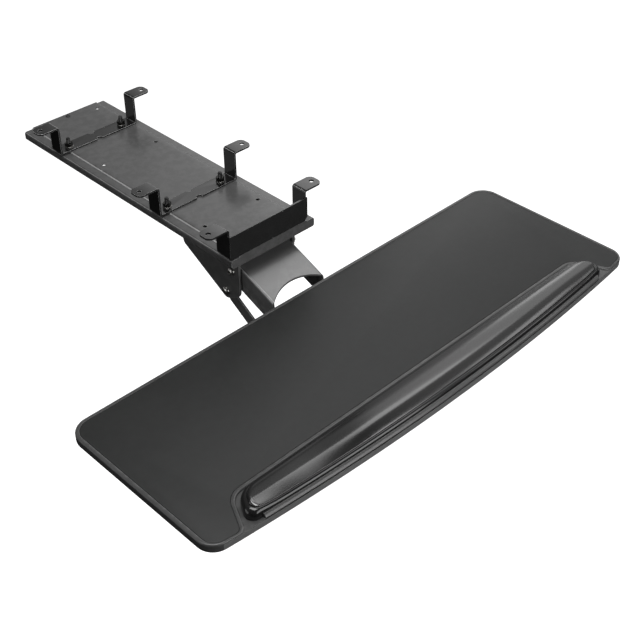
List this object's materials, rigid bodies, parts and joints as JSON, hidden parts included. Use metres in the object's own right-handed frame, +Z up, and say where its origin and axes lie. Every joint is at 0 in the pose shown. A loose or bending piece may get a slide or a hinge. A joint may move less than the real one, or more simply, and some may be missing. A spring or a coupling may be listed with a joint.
{
  "type": "keyboard tray under desk",
  "caption": "Wide keyboard tray with mat and palm rest on a lifting, tilting and swivelling arm that slides in a track screwed under a desk.",
  "frame": {"origin": "on the underside of the desk, in the middle of the four outer screw holes of the bracket feet", "axes": "+Z up into the desk, -Y towards the user along the track, +X to the user's right"},
  "size_m": [0.711, 0.7583, 0.1926],
  "materials": {
    "powder_coat": "satin black powder coat",
    "black_steel": "black oxide",
    "zinc": "zinc plated",
    "rubber": "matt",
    "nylon": "moulded",
    "board_plastic": "fine satin",
    "mat_rubber": "fine matt",
    "rest_plastic": "satin gloss",
    "rest_cover": "smooth satin coated cover over gel",
    "knob_plastic": "moulded"
  },
  "bodies": {
    "track": {"desk_track": "powder_coat", "rear_bracket": "powder_coat", "middle_bracket": "powder_coat", "front_bracket": "powder_coat", "bracket_studs": "black_steel", "bracket_washers": "zinc", "bracket_nuts": "zinc", "rear_bumper": "rubber", "rear_bumper_screw": "black_steel", "front_bumper": "rubber"},
    "carriage": {"carriage_plate": "powder_coat", "left_runner": "nylon", "right_runner": "nylon", "swivel_glide_disc": "nylon", "swivel_bolt": "zinc", "swivel_washer": "zinc", "swivel_nut": "zinc"},
    "swivel": {"swivel_bracket": "powder_coat", "upper_pivot_bolt": "zinc", "upper_pivot_washer": "zinc", "upper_pivot_nut": "zinc", "upper_pivot_spacer": "black_steel", "lower_pivot_bolt": "zinc", "lower_pivot_washer": "zinc", "lower_pivot_nut": "zinc", "lower_pivot_spacer": "black_steel"},
    "arm": {"upper_arm": "powder_coat", "arm_bushes": "nylon"},
    "link": {"lower_link": "powder_coat", "link_bushes": "nylon"},
    "head": {"head_yoke": "powder_coat", "upper_head_pin": "zinc", "lower_head_pin": "zinc", "head_pin_clips": "black_steel", "tilt_bolt": "zinc", "tilt_spacer": "black_steel"},
    "tray": {"tilt_plate": "powder_coat", "tray_screws": "black_steel", "tray_board": "board_plastic", "tray_mat": "mat_rubber", "palm_rest_base": "rest_plastic", "palm_rest": "rest_cover"},
    "knob": {"tilt_knob": "knob_plastic"}
  },
  "joints": [
    {"name": "carriage_slide", "type": "slide", "parent": "track", "child": "carriage", "axis": [0, -1, 0], "range_m": [-0.31, 0]},
    {"name": "tray_swivel", "type": "hinge", "parent": "carriage", "child": "swivel", "pos_m": [0.007, -0.1192, -0.0585], "axis": [0, 0, 1], "range_deg": [-60, 60]},
    {"name": "arm_lift", "type": "hinge", "parent": "swivel", "child": "arm", "pos_m": [0.007, -0.1606, -0.0852], "axis": [-1, 0, 0], "range_deg": [-6, 30]},
    {"name": "link_swing", "type": "hinge", "parent": "swivel", "child": "link", "pos_m": [0.007, -0.1482, -0.1216], "axis": [-1, 0, 0], "range_deg": [-6.2, 30]},
    {"name": "head_level", "type": "hinge", "parent": "arm", "child": "head", "pos_m": [0.007, -0.26437, -0.12734], "axis": [-1, 0, 0], "range_deg": [-19.5, 4.1]},
    {"name": "tray_tilt", "type": "hinge", "parent": "head", "child": "tray", "pos_m": [0.007, -0.2852, -0.1303], "axis": [1, 0, 0], "range_deg": [-3, 12]},
    {"name": "knob_turn", "type": "hinge", "parent": "head", "child": "knob", "pos_m": [0.007, -0.2852, -0.1303], "axis": [1, 0, 0], "range_deg": [-180, 180]}
  ],
  "couplings": [
    {"joint": "link_swing", "follows": "arm_lift", "ratio": 0.993},
    {"joint": "head_level", "follows": "arm_lift", "ratio": -0.644}
  ]
}
